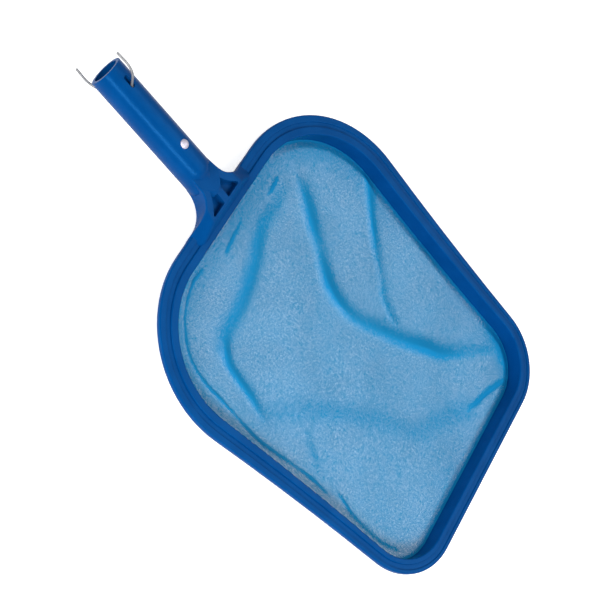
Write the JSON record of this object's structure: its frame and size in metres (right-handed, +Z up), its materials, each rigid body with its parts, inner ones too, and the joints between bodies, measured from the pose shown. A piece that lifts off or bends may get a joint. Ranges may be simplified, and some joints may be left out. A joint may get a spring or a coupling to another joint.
{
  "type": "pool leaf skimmer net",
  "caption": "Flat leaf skimmer head: a blue plastic rim with a fine net stretched across it and a tube with sprung wire ears that takes a pole.",
  "frame": {"origin": "centre of the pole tube's mouth", "axes": "+Y level and away from the head, towards the pole; +X to the left seen from the pole end with +Z up; +Z up with the skimmer lying on the ground, net underneath"},
  "size_m": [0.322, 0.4958, 0.0621],
  "materials": {
    "blue_plastic": "satin",
    "net_mesh": "matte",
    "spring_wire": "satin",
    "rivet_metal": "satin"
  },
  "bodies": {
    "head": {"frame": "blue_plastic", "net": "net_mesh", "retaining_ring": "blue_plastic", "upper_rivet": "rivet_metal", "lower_rivet": "rivet_metal"},
    "upper_wire": {"upper_latch_wire": "spring_wire"},
    "lower_wire": {"lower_latch_wire": "spring_wire"}
  },
  "joints": [
    {"name": "upper_wire_squeeze", "type": "hinge", "parent": "head", "child": "upper_wire", "pos_m": [0, -0.08254, 0.00487], "axis": [1, 0, 0], "range_deg": [-6, 0], "stiffness_Nm_per_rad": 1.9},
    {"name": "lower_wire_squeeze", "type": "hinge", "parent": "head", "child": "lower_wire", "pos_m": [0, -0.08044, -0.01913], "axis": [1, 0, 0], "range_deg": [0, 6], "stiffness_Nm_per_rad": 1.9}
  ]
}
